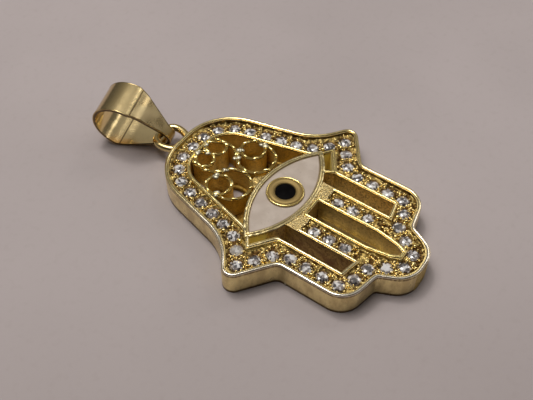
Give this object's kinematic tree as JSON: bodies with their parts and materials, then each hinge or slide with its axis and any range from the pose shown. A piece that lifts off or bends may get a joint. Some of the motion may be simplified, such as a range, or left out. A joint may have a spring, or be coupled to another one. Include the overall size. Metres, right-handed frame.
{
  "type": "hamsa pendant",
  "caption": "Gold hamsa hand pendant with an enamel eye, pierced palm and stone-set border, hung on a folded strip bail that swings on its loop.",
  "frame": {"origin": "on the flat back face, under the middle of the eye", "axes": "+Z out of the decorated face, +Y towards the bail, -Y towards the fingertips"},
  "size_m": [0.0192, 0.0328, 0.0057],
  "materials": {
    "gold": "polished",
    "bail_gold": "polished",
    "enamel": "gloss",
    "pupil": "gloss",
    "stones": "gloss"
  },
  "bodies": {
    "hand": {"hand_body": "gold", "eye_enamel": "enamel", "eye_pupil": "pupil", "bar_stones_right": "stones", "bar_stones_left": "stones", "stone_01": "stones", "stone_02": "stones", "stone_03": "stones", "stone_04": "stones", "stone_05": "stones", "stone_06": "stones", "stone_07": "stones", "stone_08": "stones", "stone_09": "stones", "stone_10": "stones", "stone_11": "stones", "stone_12": "stones", "stone_13": "stones", "stone_14": "stones", "stone_15": "stones", "stone_16": "stones", "stone_17": "stones", "stone_18": "stones", "stone_19": "stones", "stone_20": "stones", "stone_21": "stones", "stone_22": "stones", "stone_23": "stones", "stone_24": "stones", "stone_25": "stones", "stone_26": "stones", "stone_27": "stones", "stone_28": "stones", "stone_29": "stones", "stone_30": "stones", "stone_31": "stones", "stone_32": "stones", "stone_33": "stones", "stone_34": "stones", "stone_35": "stones", "stone_36": "stones", "stone_37": "stones", "stone_38": "stones", "stone_39": "stones", "stone_40": "stones", "stone_41": "stones"},
    "bail": {"bail": "bail_gold"}
  },
  "joints": [
    {"name": "bail_swing", "type": "hinge", "parent": "hand", "child": "bail", "pos_m": [0, 0.01368, 0.00145], "axis": [1, 0, 0], "range_deg": [-90, 50]}
  ]
}
